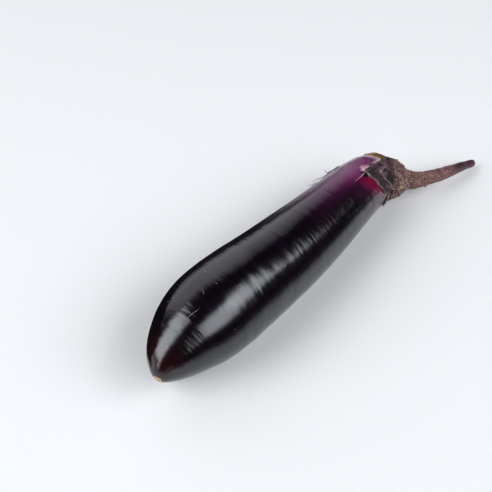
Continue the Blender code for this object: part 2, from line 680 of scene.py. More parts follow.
@dataclass(frozen=True)
class CalyxFinish:
    """Dull wrinkled calyx: brown purple, darker by its front rim, with tan dots by the stem,
    painted shade in its furrows and painted highlights on its crests.
    """

    purple: Colour = (0.044, 0.015, 0.033, 1.0)
    brown: Colour = (0.085, 0.040, 0.054, 1.0)
    woody: Colour = (0.125, 0.062, 0.060, 1.0)
    # Painted shade: near black for the low furrows between the calyx's folds.
    furrow_shade: Colour = (0.006, 0.004, 0.007, 1.0)
    dusk: Colour = (0.013, 0.004, 0.009, 1.0)
    # tan: the dots' colour, also used for the painted highlights on the fold crests.
    tan: Colour = (0.430, 0.300, 0.240, 1.0)
    straw: Colour = (0.560, 0.370, 0.080, 1.0)
    green: Colour = (0.330, 0.330, 0.070, 1.0)
    edge: Colour = (0.420, 0.320, 0.280, 1.0)

    def material(self) -> bpy.types.Material:
        """Return the calyx's material."""
        graph = Graph("calyx_finish")
        place = graph.coordinates()
        mottle = graph.noise(place, 300.0, 5.0, 0.65)
        dots = graph.cells(place, 760.0)
        colour = graph.mix(graph.step(mottle, 0.38, 0.62), self.purple, self.brown)
        dark_band = graph.attribute("dark_band")
        fold = graph.attribute("fold")
        dotted = graph.attribute("dotted")
        colour = graph.mix(dark_band, colour, self.dusk)
        # Painted shade darkens the furrows of the folds.
        colour = graph.mix(graph.step(fold, 0.50, 0.24), colour, self.furrow_shade)
        wood = graph.math("MULTIPLY", dotted, 0.7)
        colour = graph.mix(wood, colour, self.woody)
        spots = graph.step(dots, 0.46, 0.20)
        colour = graph.mix(graph.math("MULTIPLY", spots, dotted), colour, self.tan)
        # Painted highlight: tan flecks lighten the crests of the folds as if lit; the same flecks
        # also dot the dark band.
        crest_highlight_and_specks = graph.math("MULTIPLY", graph.step(fold, 0.62, 0.92), 0.6)
        flecks = graph.step(graph.noise(place, 1300.0, 3.0, 0.6), 0.50, 0.66)
        crest_highlight_and_specks = graph.math("ADD", crest_highlight_and_specks, graph.math("MULTIPLY", dark_band, 0.18))
        colour = graph.mix(graph.math("MULTIPLY", flecks, crest_highlight_and_specks), colour, self.tan)
        colour = graph.mix(graph.attribute("green"), colour, self.green)
        colour = graph.mix(graph.attribute("thin_edge"), colour, self.edge)
        inner = graph.mix(graph.step(mottle, 0.45, 0.7), self.straw, self.brown)
        colour = graph.mix(graph.attribute("inside"), colour, inner)
        relief = graph.bump(graph.noise(place, 900.0, 4.0, 0.6), 0.00030)
        relief = graph.bump(dots, 0.00016, relief)
        rough = graph.math("ADD", 0.38, graph.math("MULTIPLY", mottle, 0.30))
        graph.surface(Base_Color=colour, Roughness=rough, Normal=relief, IOR=1.32)
        return graph.material


@dataclass(frozen=True)
class StemFinish:
    """Rough stem: brown purple with tan flecks, smooth and dark towards its tip."""

    purple: Colour = (0.060, 0.018, 0.029, 1.0)
    brown: Colour = (0.125, 0.054, 0.054, 1.0)
    tan: Colour = (0.430, 0.265, 0.190, 1.0)
    dark: Colour = (0.020, 0.005, 0.011, 1.0)

    def material(self) -> bpy.types.Material:
        """Return the stem's material."""
        graph = Graph("stem_finish")
        place = graph.coordinates()
        mottle = graph.noise(graph.coordinates((0.45, 1.0, 1.0)), 420.0, 4.0, 0.6)
        smooth = graph.attribute("young")
        colour = graph.mix(graph.step(mottle, 0.36, 0.62), self.purple, self.brown)
        grain = graph.noise(graph.coordinates((0.55, 1.0, 1.0)), 1450.0, 2.0, 0.6)
        flecks = graph.math("MULTIPLY", graph.step(grain, 0.50, 0.68), 0.72)
        bare = graph.math("SUBTRACT", 1.0, smooth)
        colour = graph.mix(graph.math("MULTIPLY", flecks, bare), colour, self.tan)
        colour = graph.mix(smooth, colour, graph.mix(mottle, self.dark, self.purple))
        relief = graph.bump(graph.noise(place, 1100.0, 4.0, 0.6), 0.00020)
        rough = graph.math("SUBTRACT", 0.70, graph.math("MULTIPLY", smooth, 0.38))
        graph.surface(Base_Color=colour, Roughness=rough, Normal=relief, IOR=1.45)
        return graph.material


@dataclass(frozen=True)
class CorkFinish:
    """Dry corky tissue of the blossom scar and of healed scratches."""

    name: str = "cork_finish"
    light: Colour = (0.640, 0.510, 0.320, 1.0)
    dark: Colour = (0.200, 0.090, 0.050, 1.0)

    def material(self) -> bpy.types.Material:
        """Return the cork's material."""
        graph = Graph(self.name)
        place = graph.coordinates()
        grain = graph.noise(place, 1500.0, 4.0, 0.65)
        colour = graph.mix(graph.step(grain, 0.38, 0.62), self.dark, self.light)
        relief = graph.bump(grain, 0.00012)
        graph.surface(Base_Color=colour, Roughness=0.75, Normal=relief)
        return graph.material


@dataclass(frozen=True)
class FloorFinish:
    """Plain pale table, with a faint unevenness."""

    light: Colour = (0.735, 0.755, 0.770, 1.0)
    shade: Colour = (0.715, 0.735, 0.750, 1.0)

    def material(self) -> bpy.types.Material:
        """Return the floor's material."""
        graph = Graph("floor_finish")
        cloud = graph.noise(graph.coordinates(), 3.0, 3.0, 0.5)
        graph.surface(Base_Color=graph.mix(cloud, self.light, self.shade), Roughness=0.9)
        return graph.material


# --------------------------------------------------------------------------
# The eggplant
# --------------------------------------------------------------------------


@dataclass
class Fruit:
    """The skin-covered fruit, turned from an outline and bent along its spine.

    Distances along the spine start at the blossom end. The spine's points are
    measured from the low end of the fruit's box, in millimetres.
    """

    outline: tuple[Pair, ...] = (
        (0.0, 0.0),
        (0.35, 2.2),
        (1.4, 4.3),
        (4.5, 7.8),
        (9.0, 11.6),
        (16.0, 15.7),
        (28.0, 20.7),
        (39.0, 23.3),
        (51.0, 24.1),
        (66.0, 23.8),
        (86.0, 22.9),
        (110.0, 21.7),
        (136.0, 19.8),
        (158.0, 18.1),
        (176.0, 16.8),
        (185.0, 15.8),
        (192.0, 13.4),
        (197.5, 9.9),
        (201.0, 5.6),
        (202.2, 2.4),
        (202.4, 0.0),
    )
    spine: tuple[Point, ...] = (
        (0.2, -1.7, 17.6),
        (16.4, 1.2, 20.6),
        (35.4, 2.4, 23.5),
        (61.4, 2.6, 23.8),
        (84.4, 2.6, 22.55),
        (109.4, 2.8, 21.35),
        (134.4, 3.6, 20.8),
        (159.4, 5.3, 20.3),
        (175.4, 6.3, 19.5),
        (187.4, 5.0, 18.5),
        (196.4, 1.2, 17.3),
        (202.4, -4.6, 16.2),
    )
    rings_between: int = 15
    faces_round: int = 144
    swell: float = 0.24 * MM
    ripple: float = 0.070 * MM
    flute: float = 0.16 * MM
    rest_height: float = 0.05 * MM
    divide: float = 0.6 * MM
    flush_delay: float = 8.5 * MM
    # Painted shadow: how far the black shade reaches in the gap under the front lobe's tip.
    gap_shadow_reach: Pair = (1.6 * MM, 3.3 * MM)
    core: Pair = (0.002, 0.021)
    probe: float = 0.05
    finish: SkinFinish = field(default_factory=SkinFinish)

    def build(self) -> bpy.types.Object:
        """Model the fruit.

        Returns:
            The fruit's mesh object, without its finish.
        """
        low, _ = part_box(Node.FRUIT.value)
        outline = smooth_line(self.outline, self.rings_between) * MM
        outline[[0, -1], 1] = 0.0
        piece = turn_outline("fruit_skin", outline, self.faces_round)
        straight = points_of(piece)
        store_place(piece, "straight", straight)
        path = [(low.x + x * MM, y * MM, z * MM) for x, y, z in self.spine]
        guide = curve_through("spine", path)
        guide.data.resolution_u = 32
        apply_modifier(piece, "CURVE", object=guide, deform_axis="POS_X")
        bpy.data.objects.remove(guide)
        self.relief(piece, straight)
        return piece

    def relief(self, piece: bpy.types.Object, straight: np.ndarray) -> None:
        """Give the turned surface the unevenness of a grown one.

        Args:
            piece: The bent fruit.
            straight: Where each of its points was before it was bent.
        """
        points = points_of(piece)
        normals = normals_of(piece)
        neck = smooth_step(points[:, 0], 0.005, 0.050)
        around = np.arctan2(points[:, 2] - 0.020, points[:, 1] - 0.004)
        lift = self.swell * noise_field(points, 26.0)
        lift += self.ripple * noise_field(straight, (330.0, 50.0, 50.0))
        lift += self.flute * neck * np.cos(7.0 * around + 2.0 * noise_field(points, 30.0))
        points += normals * lift[:, None]
        lowest = np.full(len(points), self.rest_height)
        points[:, 2] = smooth_max(points[:, 2], lowest, 0.3 * MM)
        move_points(piece, points)

    def dress(self, piece: bpy.types.Object, calyx: bpy.types.Object, cap: "Calyx") -> None:
        """Mark where the skin changes colour and where its shadow under the front lobe's tip is
        painted, then give it its finish.

        Args:
            piece: The fruit's mesh object.
            calyx: The calyx's mesh object, whose rim the colour follows.
            cap: The calyx's sizes.
        """
        points = points_of(piece)
        tree = tree_of(calyx)
        distance = [tree.find_nearest(Vector(point))[3] for point in points]
        turn = cap.angles(points)[1]
        low = smooth_step(turn, 58.0, 90.0) * (1.0 - smooth_step(turn, 160.0, 200.0))
        store(piece, "rim_distance", np.array(distance) + self.flush_delay * low)
        away = np.maximum(np.array(distance) - 4.0 * MM, 0.0)
        blend = 0.7 * MM + 0.40 * away
        past = points[:, 1] - self.divide + 0.5 * MM * noise_field(points, 160.0)
        shade = 1.0 - 0.75 * smooth_step(-points[:, 2], -0.026, -0.010)
        store(piece, "upper", smooth_step(past / blend, -1.0, 1.0) * shade)
        # Painted shadow: how near each point is to the gap under the front lobe's tip, which the
        # finish paints black.
        gap = np.linalg.norm(points - np.array(cap.lobe_corner()), axis=1)
        store(piece, "gap", 0.97 * (1.0 - smooth_step(gap, *self.gap_shadow_reach)))
        tip = smooth_step(-points[:, 0], 0.110, 0.129)
        low_side = smooth_step(-points[:, 1], -0.004, 0.016) * smooth_step(points[:, 0], 0.0, 0.05)
        patch = 0.5 + 0.5 * noise_field(points, 55.0)
        store(piece, "warmth", np.clip(0.8 * tip + 0.9 * low_side * patch, 0.0, 1.0))
        hand_over(piece, self.finish.material())
        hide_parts(Node.FRUIT.value)

    def place_on(self, tree: BVHTree, along: float, turn: float) -> tuple[Vector, Vector]:
        """Find a place on the skin.

        Args:
            tree: The skin's search tree.
            along: Distance along the row's X axis, in metres.
            turn: Angle from straight up towards -Y, in degrees.

        Returns:
            The place and the skin's outward direction there.
        """
        lean = math.radians(turn)
        out = Vector((0.0, -math.sin(lean), math.cos(lean)))
        start = Vector((along, *self.core)) + out * self.probe
        place, normal, _, _ = tree.ray_cast(start, -out)
        return place, normal


@dataclass(frozen=True)
class Lobe:
    """One pointed lobe of the calyx. Angles are in degrees.

    Attributes:
        turn: Where its middle is about the axis.
        tip: Its tip's tilt from the axis.
        before: Its width on the side of smaller turns.
        after: Its width on the side of larger turns.
        lift: How far it stands off the fruit, in metres.
        steep: How steep its sides are, 1 for a plain point.
    """

    turn: float
    tip: float
    before: float
    after: float
    lift: float
    steep: float = 1.0


@dataclass
class Calyx:
    """The lobed cap over the fruit's shoulder, with the crown that carries the stem."""

    centre: Vector = field(default_factory=lambda: Vector((64.0, 2.2, 17.2)) * MM)
    axis: Vector = field(default_factory=lambda: Vector((0.70, -0.70, -0.12)).normalized())
    lobes: tuple[Lobe, ...] = (
        Lobe(-78.0, 125.0, 38.0, 34.0, 2.2 * MM, 4.0),
        Lobe(40.0, 127.0, 76.0, 54.0, 0.55 * MM),
        Lobe(104.0, 94.0, 30.0, 34.0, 0.2 * MM),
        Lobe(174.0, 111.0, 36.0, 34.0, 0.5 * MM),
        Lobe(234.0, 114.0, 34.0, 32.0, 0.8 * MM),
    )
    notch: float = 78.0
    band: float = 19.0
    # Where the skin's painted shadow under the front lobe's tip is centred.
    corner: Pair = (125.3, 46.0)
    corner_reach: float = 30.0 * MM
    nub: Pair = (52.0, -42.0)
    green_patch: Pair = (47.0, 77.0)
    crown: tuple[Pair, ...] = (
        (0.0, 17.3),
        (17.0, 17.5),
        (20.0, 17.3),
        (24.0, 15.9),
        (29.0, 15.3),
        (37.0, 14.8),
        (46.0, 14.2),
        (57.0, 13.8),
        (75.0, 13.4),
        (92.0, 12.6),
        (130.0, 9.0),
    )
    faces_round: int = 184
    rings: int = 112
    wall: float = 0.9 * MM
    finish: CalyxFinish = field(default_factory=CalyxFinish)

    def side(self) -> Vector:
        """Return the sideways direction square to the axis, towards -X and -Y."""
        return self.axis.cross(Vector((0.0, 0.0, 1.0))).normalized()

    def top(self) -> Vector:
        """Return the upward direction square to the axis."""
        return self.side().cross(self.axis)

    def rays_to(self, points: np.ndarray) -> np.ndarray:
        """Return the unit directions from the centre to points, as an array of shape (n, 3)."""
        rays = points - np.array(self.centre)
        return rays / (np.linalg.norm(rays, axis=1, keepdims=True) + TINY)

    def angles(self, points: np.ndarray) -> tuple[np.ndarray, np.ndarray]:
        """Return each point's tilt from the axis and turn about it, in degrees.

        Args:
            points: Array of shape (n, 3), in metres.

        Returns:
            The tilts, and the turns from the top towards the side.
        """
        rays = self.rays_to(points)
        along = rays @ np.array(self.axis)
        up = rays @ np.array(self.top())
        across = rays @ np.array(self.side())
        tilt = np.degrees(np.arccos(np.clip(along, -1.0, 1.0)))
        return tilt, np.degrees(np.arctan2(across, up))

    def gap(self, turn: np.ndarray, lobe: Lobe) -> np.ndarray:
        """Return how far each turn is from a lobe's middle, as a share of its width."""
        off = (turn - lobe.turn + 180.0) % 360.0 - 180.0
        return np.where(off < 0.0, -off / lobe.before, off / lobe.after)

    def direction(self, tilt: float, turn: float) -> Vector:
        """Find a direction from the centre.

        Args:
            tilt: Its tilt from the axis, in degrees.
            turn: Its turn about the axis, in degrees.

        Returns:
            The unit direction.
        """
        lean, around = math.radians(tilt), math.radians(turn)
        out = self.top() * math.cos(around) + self.side() * math.sin(around)
        return self.axis * math.cos(lean) + out * math.sin(lean)

    def lobe_corner(self) -> Vector:
        """Return the place under the tip of the lobe that faces the front, the middle of the
        skin's painted shadow.
        """
        return self.centre + self.direction(*self.corner) * self.corner_reach

    def near(self, points: np.ndarray, spot: Pair, spread: float) -> np.ndarray:
        """Measure how near each point's direction is to a spot's.

        Args:
            points: Array of shape (n, 3), in metres.
            spot: The spot's tilt and turn, in degrees.
            spread: How far its nearness reaches, in degrees.

        Returns:
            A share from 0 to 1 for each point.
        """
        rays = self.rays_to(points)
        off = np.degrees(np.arccos(np.clip(rays @ np.array(self.direction(*spot)), -1.0, 1.0)))
        return np.exp(-((off / spread) ** 2))

    def rim(self, turn: np.ndarray) -> np.ndarray:
        """Work out the calyx's ragged rim.

        Args:
            turn: Turns about the axis, in degrees.

        Returns:
            The rim's tilt from the axis at each turn, in degrees.
        """
        reach = np.full(len(turn), self.notch)
        for lobe in self.lobes:
            share = np.clip(lobe.steep * (1.0 - self.gap(turn, lobe)), 0.0, 1.0)
            rise = (lobe.tip - self.notch) * share
            reach = smooth_max(reach, self.notch + rise, 3.0)
        circle = circle_of(np.radians(turn))
        return reach + 2.4 * noise_field(circle, 6.0) + 1.8 * noise_field(circle, 17.0)

    def build(self, fruit: bpy.types.Object) -> bpy.types.Object:
        """Model the calyx over the fruit's shoulder.

        Args:
            fruit: The fruit's mesh object.

        Returns:
            The calyx's mesh object, without its finish.
        """
        deselect_all()
        bpy.ops.mesh.primitive_uv_sphere_add(
            segments=self.faces_round, ring_count=self.rings, radius=1.0, location=(0, 0, 0)
        )
        piece = bpy.context.object
        piece.name = "calyx_cap"
        self.keep_upper_half(piece)
        start = points_of(piece)
        turn = np.degrees(np.arctan2(start[:, 1], start[:, 0]))
        part = np.degrees(np.arccos(np.clip(start[:, 2], -1.0, 1.0))) / 90.0
        tilt = part * self.rim(turn)
        rays = np.array([self.direction(*pair) for pair in zip(tilt, turn)])
        folds = self.folds(rays, tilt, turn)
        # The folds' height; the finish also reads it to paint shade in the furrows and highlights
        # on the crests.
        store(piece, "fold", np.clip(0.5 + folds / (1.5 * MM), 0.0, 1.0))
        lift = folds + self.opening(tilt, turn, part)
        move_points(piece, self.surface(rays, tilt, part, lift, tree_of(fruit)))
        close_up(piece)
        self.face_outwards(piece)
        apply_modifier(piece, "SOLIDIFY", thickness=self.wall, offset=-1.0)
        refine(piece, 1)
        self.mark(piece)
        return piece

    def keep_upper_half(self, piece: bpy.types.Object) -> None:
        """Delete the half of the starting sphere that points away from the stem."""
        activate(piece)
        bpy.ops.object.mode_set(mode="EDIT")
        bpy.ops.mesh.select_all(action="DESELECT")
        bpy.ops.object.mode_set(mode="OBJECT")
        for vertex in piece.data.vertices:
            vertex.select = vertex.co.z < -0.001
        bpy.ops.object.mode_set(mode="EDIT")
        bpy.ops.mesh.select_mode(type="VERT")
        bpy.ops.mesh.delete(type="VERT")
        bpy.ops.object.mode_set(mode="OBJECT")

    def face_outwards(self, piece: bpy.types.Object) -> None:
        """Turn the open cap's faces away from the fruit."""
        out = points_of(piece) - np.array(self.centre)
        if np.mean(np.sum(out * normals_of(piece), axis=1)) < 0.0:
            edit_all(piece)
            bpy.ops.mesh.flip_normals()
            bpy.ops.object.mode_set(mode="OBJECT")

    def surface(
        self, rays: np.ndarray, tilt: np.ndarray, part: np.ndarray, lift: np.ndarray, skin: BVHTree
    ) -> np.ndarray:
        """Work out the cap's outer surface.

        Args:
            rays: Each point's direction from the centre.
            tilt: Each point's tilt from the axis, in degrees.
            part: Each point's share of the way from the crown to the rim.
            lift: How far each point stands proud, in metres.
            skin: The fruit's search tree.

        Returns:
            Array of points, in metres.
        """
        skin_at = np.array([skin.ray_cast(self.centre, Vector(ray))[3] for ray in rays])
        table = np.array(self.crown)
        dome = np.interp(tilt, table[:, 0], table[:, 1]) * MM
        thin = self.wall + 0.35 * MM * (1.0 - part)
        reach = smooth_max(dome + lift, skin_at + thin + np.maximum(lift, -0.25 * MM), 1.0 * MM)
        return np.array(self.centre) + rays * reach[:, None]

    def folds(self, rays: np.ndarray, tilt: np.ndarray, turn: np.ndarray) -> np.ndarray:
        """Return how far the cap's folds and creases stand proud.

        Args:
            rays: Each point's direction from the centre.
            tilt: Each point's tilt from the axis, in degrees.
            turn: Each point's turn about the axis, in degrees.

        Returns:
            The height at each point, in metres.
        """
        away = smooth_step(tilt, 20.0, 42.0)
        around = np.radians(turn)
        stripe = np.stack([3.2 * np.cos(around), 3.2 * np.sin(around), tilt / 50.0], 1)
        height = 0.90 * MM * (0.35 - 2.0 * np.abs(noise_field(stripe, 1.0))) * away
        height += 0.85 * MM * (0.35 - 2.0 * np.abs(noise_field(rays + 5.0, 4.6))) * away
        height += 0.45 * MM * noise_field(rays, 12.0) * (0.4 + 0.6 * away)
        height += 0.34 * MM * (0.3 - np.abs(noise_field(rays, 20.0)))
        return height + 0.18 * MM * noise_field(rays, 40.0)

    def opening(self, tilt: np.ndarray, turn: np.ndarray, part: np.ndarray) -> np.ndarray:
        """Return how far the lobes open away from the fruit.

        Args:
            tilt: Each point's tilt from the axis, in degrees.
            turn: Each point's turn about the axis, in degrees.
            part: Each point's share of the way from the crown to the rim.

        Returns:
            The height at each point, in metres.
        """
        height = 0.35 * MM * np.exp(-(((1.0 - part) / 0.05) ** 2))
        height += 0.75 * MM * self.inner_ridge(tilt, turn, 3.0)
        height -= 0.35 * MM * self.inner_ridge(tilt + self.band * 0.5, turn, 4.0)
        for lobe in self.lobes:
            gap = self.gap(turn, lobe)
            full = 100.0 if lobe.steep > 1.0 else lobe.tip
            side = np.clip(2.4 * lobe.steep * (1.05 - gap), 0.0, 1.0)
            opened = smooth_step(tilt, 76.0, full) * side
            height += lobe.lift * opened
        rays = np.array([self.direction(*pair) for pair in zip(tilt, turn)])
        return height + 1.1 * MM * self.near(rays + np.array(self.centre), self.nub, 2.6)

    def inner_ridge(self, tilt: np.ndarray, turn: np.ndarray, spread: float) -> np.ndarray:
        """Return how near each point is to the ridge inside the front lobe's rim.

        Args:
            tilt: Each point's tilt from the axis, in degrees.
            turn: Each point's turn about the axis, in degrees.
            spread: The ridge's half width, in degrees.

        Returns:
            A share from 0 to 1 for each point.
        """
        circle = circle_of(np.radians(turn))
        middle = self.rim(turn) - self.band + 5.0 * noise_field(circle + 3.0, 7.0)
        ends = smooth_step(turn, 22.0, 40.0) * (1.0 - smooth_step(turn, 96.0, 112.0))
        return np.exp(-(((tilt - middle) / spread) ** 2)) * ends

    def mark(self, piece: bpy.types.Object) -> None:
        """Store where the calyx is inside, thin at its edge, ribbed or dark."""
        points = points_of(piece)
        normals = normals_of(piece)
        facing = np.sum(self.rays_to(points) * normals, axis=1)
        tilt, turn = self.angles(points)
        store(piece, "inside", smooth_step(-facing, 0.25, 0.55))
        to_rim = self.rim(turn) - tilt
        edge = (1.0 - smooth_step(np.abs(to_rim), 0.5, 2.0)) * smooth_step(-facing, -0.94, -0.55)
        broken = 0.35 + 0.65 * smooth_step(noise_field(points, 420.0), -0.25, 0.25)
        ridge = 0.55 * self.inner_ridge(tilt, turn, 1.5)
        store(piece, "thin_edge", np.maximum(edge, ridge) * broken)
        spread = tilt + 14.0 * noise_field(points, 150.0)
        store(piece, "dotted", 1.0 - smooth_step(spread, 44.0, 84.0))
        low = smooth_step(turn, 28.0, 46.0) * (1.0 - smooth_step(turn, 100.0, 130.0))
        ragged = to_rim + 22.0 * noise_field(points, 190.0) + 12.0 * noise_field(points, 480.0)
        band = (1.0 - smooth_step(ragged, 12.0, 24.0)) * low
        patches = 0.55 * smooth_step(noise_field(points, 170.0), 0.0, 0.4)
        store(piece, "dark_band", np.clip(band * 0.9 + patches, 0.0, 1.0))
        sprout = self.near(points, self.nub, 3.4) + 0.8 * self.near(points, self.green_patch, 5.0)
        store(piece, "green", np.clip(sprout, 0.0, 1.0))

    def dress(self, piece: bpy.types.Object) -> None:
        """Give the calyx its finish."""
        hand_over(piece, self.finish.material())
        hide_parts(Node.CALYX.value)


@dataclass
class Stem:
    """The bent stem, rough and ribbed, with a smooth young tip.

    Each knot is a point on the middle line and the radius there, in millimetres,
    with X measured from the low end of the stem's box.
    """

    knots: tuple[tuple[Point, float], ...] = (
        ((3.0, -8.8, 15.35), 6.1),
        ((4.6, -10.4, 15.0), 5.6),
        ((8.4, -12.9, 14.3), 4.9),
        ((15.0, -15.6, 12.9), 4.35),
        ((25.0, -18.6, 11.0), 3.95),
        ((32.0, -20.0, 9.5), 3.7),
        ((39.0, -21.2, 8.0), 3.45),
        ((45.0, -22.3, 6.8), 3.15),
        ((48.0, -22.9, 6.0), 2.85),
        ((54.0, -24.1, 4.7), 2.75),
        ((56.0, -24.5, 4.3), 2.3),
        ((56.8, -24.7, 4.15), 1.3),
        ((57.0, -24.75, 4.1), 0.5),
    )
    steps: int = 12
    sides: int = 10
    young_from: float = 33.0
    nub: Point = (83.1, -17.1, 10.0)
    finish: StemFinish = field(default_factory=StemFinish)

    def build(self) -> bpy.types.Object:
        """Model the stem.

        Returns:
            The stem's mesh object, without its finish.
        """
        low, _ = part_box(Node.STEM.value)
        line = [(low.x + x * MM, y * MM, z * MM) for (x, y, z), _ in self.knots]
        radii = [radius * MM for _, radius in self.knots]
        piece = tube("stem_stalk", line, radii, self.steps, self.sides)
        refine(piece, 1)
        self.relief(piece, np.array(line))
        return piece

    def relief(self, piece: bpy.types.Object, knots: np.ndarray) -> None:
        """Give the stem its ribs, warts and nubs, which fade at the young tip.

        Args:
            piece: The stem's mesh object.
            knots: Points on its middle line, in metres.
        """
        line = smooth_line(knots, 24)
        points = points_of(piece)
        normals = normals_of(piece)
        nearest = np.array([np.argmin(np.sum((line - point) ** 2, axis=1)) for point in points])
        out = points - line[nearest]
        along = (line[nearest][:, 0] - line[0, 0]) / MM
        around = np.arctan2(out[:, 2], out[:, 1])
        young = smooth_step(along, self.young_from - 3.0, self.young_from + 2.5)
        rough = 1.0 - young
        stripe = np.stack([along * 0.10, 2.4 * np.cos(around), 2.4 * np.sin(around)], 1)
        lift = 0.32 * MM * noise_field(stripe, 1.0) * (0.25 + 0.75 * rough)
        lift += 0.16 * MM * noise_field(points, 520.0) * rough
        lift += 0.10 * MM * noise_field(points, 1300.0) * rough
        lift += 0.28 * MM * rough * smooth_step(noise_field(points, 330.0), 0.25, 0.6)
        lift += 0.12 * MM * noise_field(points, 150.0)
        lift -= 0.22 * MM * young
        near = np.linalg.norm(points - np.array(self.nub) * MM, axis=1) / (0.9 * MM)
        lift += 0.9 * MM * np.exp(-(near**2))
        move_points(piece, points + normals * lift[:, None])
        store(piece, "young", young)

    def dress(self, piece: bpy.types.Object) -> None:
        """Give the stem its finish."""
        hand_over(piece, self.finish.material())
        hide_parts(Node.STEM.value)


@dataclass
class BlossomScar:
    """The corky scar where the flower was, with the pale seam that runs up from it.

    The centre is measured from the low end of the fruit's box, in millimetres.
    Each of the seam's knots is X in millimetres and turn from straight up in
    degrees, followed by its sideways waver and its radius in millimetres.
    """

    centre: Point = (0.2, -1.9, 17.2)
    radius: float = 2.3 * MM
    height: float = 0.16 * MM
    tuck: float = 0.2 * MM
    seam: tuple[tuple[Pair, float, float], ...] = (
        ((-127.4, 36.0), 0.0, 0.15),
        ((-125.0, 24.0), 0.25, 0.10),
        ((-122.7, 17.0), -0.15, 0.08),
        ((-120.0, 15.0), 0.2, 0.09),
        ((-118.0, 14.0), -0.1, 0.03),
    )
    finish: CorkFinish = field(default_factory=CorkFinish)
    faded: CorkFinish = field(
        default_factory=lambda: CorkFinish(
            "seam_finish", (0.50, 0.36, 0.32, 1.0), (0.14, 0.06, 0.06, 1.0)
        )
    )

    def build(self, fruit: bpy.types.Object, sizes: Fruit) -> None:
        """Model the scar on the fruit's blossom end.

        Args:
            fruit: The fruit's mesh object.
            sizes: The fruit's sizes.
        """
        skin = tree_of(fruit)
        material = self.finish.material()
        crust = self.crust(skin)
        hand_over(crust, material)
        line = []
        for (along, turn), waver, _ in self.seam:
            place, normal = sizes.place_on(skin, along * MM, turn)
            line.append(place + normal * 0.01 * MM + Vector((0.0, 1.0, 0.0)) * waver * MM)
        radii = [radius * MM for _, _, radius in self.seam]
        seam = tube("blossom_seam", line, radii, 8, 2)
        hand_over(seam, self.faded.material())

    def crust(self, skin: BVHTree) -> bpy.types.Object:
        """Model the raised ragged crust.

        Args:
            skin: The fruit's search tree.

        Returns:
            The crust's mesh object.
        """
        low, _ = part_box(Node.FRUIT.value)
        centre = Vector((low.x, 0.0, 0.0)) + Vector(self.centre) * MM
        deselect_all()
        bpy.ops.mesh.primitive_uv_sphere_add(
            segments=64, ring_count=24, radius=self.radius, location=centre,
            rotation=(0.0, math.radians(90.0), 0.0),
        )
        piece = bpy.context.object
        piece.name = "blossom_crust"
        freeze(piece)
        points = points_of(piece)
        flat = points - np.array(centre)
        angle = np.arctan2(flat[:, 2], flat[:, 1])
        ring = circle_of(angle)
        ragged = 1.0 + 0.35 * noise_field(ring, 2.3) + 0.22 * noise_field(ring, 6.0)
        part = np.hypot(flat[:, 1], flat[:, 2]) / self.radius
        outer = flat[:, 0] < 0.0
        dome = self.height * np.sqrt(np.maximum(0.0, 1.0 - part**4))
        rises = np.where(outer, dome, -self.tuck)
        before = low.x - 10.0 * MM
        for i, (_, across, up) in enumerate(flat * ragged[:, None]):
            aim = Vector((before, centre.y + across, centre.z + up))
            place, normal, _, _ = skin.ray_cast(aim, Vector((1.0, 0.0, 0.0)))
            points[i] = place + normal * rises[i]
        bumps = 0.10 * MM * noise_field(points, 1400.0) + 0.10 * MM * noise_field(points, 600.0)
        points[:, 0] -= np.where(outer, bumps * (1.0 - part**2), 0.0)
        move_points(piece, points)
        close_up(piece)
        return piece


@dataclass
class SkinMarks:
    """Small healed scratches and specks on the skin.

    Places are pairs of X in millimetres and turn from straight up in degrees.
    A speck also has its radius, in millimetres.
    """

    scratch: tuple[Pair, ...] = ((-107.0, 10.5), (-104.5, 11.0), (-102.0, 12.5), (-100.0, 13.0))
    nick: tuple[Pair, ...] = ((-93.5, 5.5), (-92.7, 3.0), (-92.0, 0.0))
    specks: tuple[tuple[float, float, float], ...] = (
        (-116.5, 7.0, 0.45),
        (-118.5, -1.0, 0.32),
        (-104.0, -31.0, 0.30),
        (-101.5, -26.0, 0.34),
        (-85.0, 6.0, 0.26),
        (-82.5, -14.0, 0.24),
        (-92.0, 59.0, 0.26),
        (-48.0, 40.0, 0.18),
        (-20.0, 72.0, 0.20),
        (0.7, 69.0, 0.28),
        (14.0, 28.0, 0.18),
    )
    finish: CorkFinish = field(
        default_factory=lambda: CorkFinish(
            "mark_finish", (0.42, 0.30, 0.30, 1.0), (0.10, 0.04, 0.06, 1.0)
        )
    )

    def build(self, fruit: bpy.types.Object, sizes: Fruit) -> None:
        """Model the marks on the fruit.

        Args:
            fruit: The fruit's mesh object.
            sizes: The fruit's sizes.
        """
        skin = tree_of(fruit)
        pieces = [
            self.line(skin, sizes, "skin_scratch", self.scratch, 0.11 * MM),
            self.line(skin, sizes, "skin_nick", self.nick, 0.08 * MM),
        ]
        for along, turn, radius in self.specks:
            pieces.append(self.speck(skin, sizes, (along, turn), radius * MM))
        hand_over(join("skin_marks", pieces), self.finish.material())

    def line(
        self, skin: BVHTree, sizes: Fruit, name: str, route: Sequence[Pair], radius: float
    ) -> bpy.types.Object:
        """Model a thin raised line that lies on the skin.

        Args:
            skin: The fruit's search tree.
            sizes: The fruit's sizes.
            name: The line's name.
            route: X in millimetres and turn in degrees of each knot.
            radius: Its thickest radius, in metres.

        Returns:
            The line's mesh object.
        """
        places = [sizes.place_on(skin, along * MM, turn)[0] for along, turn in route]
        radii = [radius * 0.4] + [radius] * (len(route) - 2) + [radius * 0.3]
        return tube(name, places, radii, 6, 2)

    def speck(
        self, skin: BVHTree, sizes: Fruit, where: Pair, radius: float
    ) -> bpy.types.Object:
        """Model a low corky speck that lies on the skin.

        Args:
            skin: The fruit's search tree.
            sizes: The fruit's sizes.
            where: X in millimetres and turn in degrees.
            radius: Its radius, in metres.

        Returns:
            The speck's mesh object.
        """
        place, normal = sizes.place_on(skin, where[0] * MM, where[1])
        deselect_all()
        bpy.ops.mesh.primitive_ico_sphere_add(
            subdivisions=2, radius=radius, location=place, scale=(1.0, 0.7, 0.35),
            rotation=normal.to_track_quat("Z", "Y").to_euler(),
        )
        piece = bpy.context.object
        freeze(piece)
        return piece


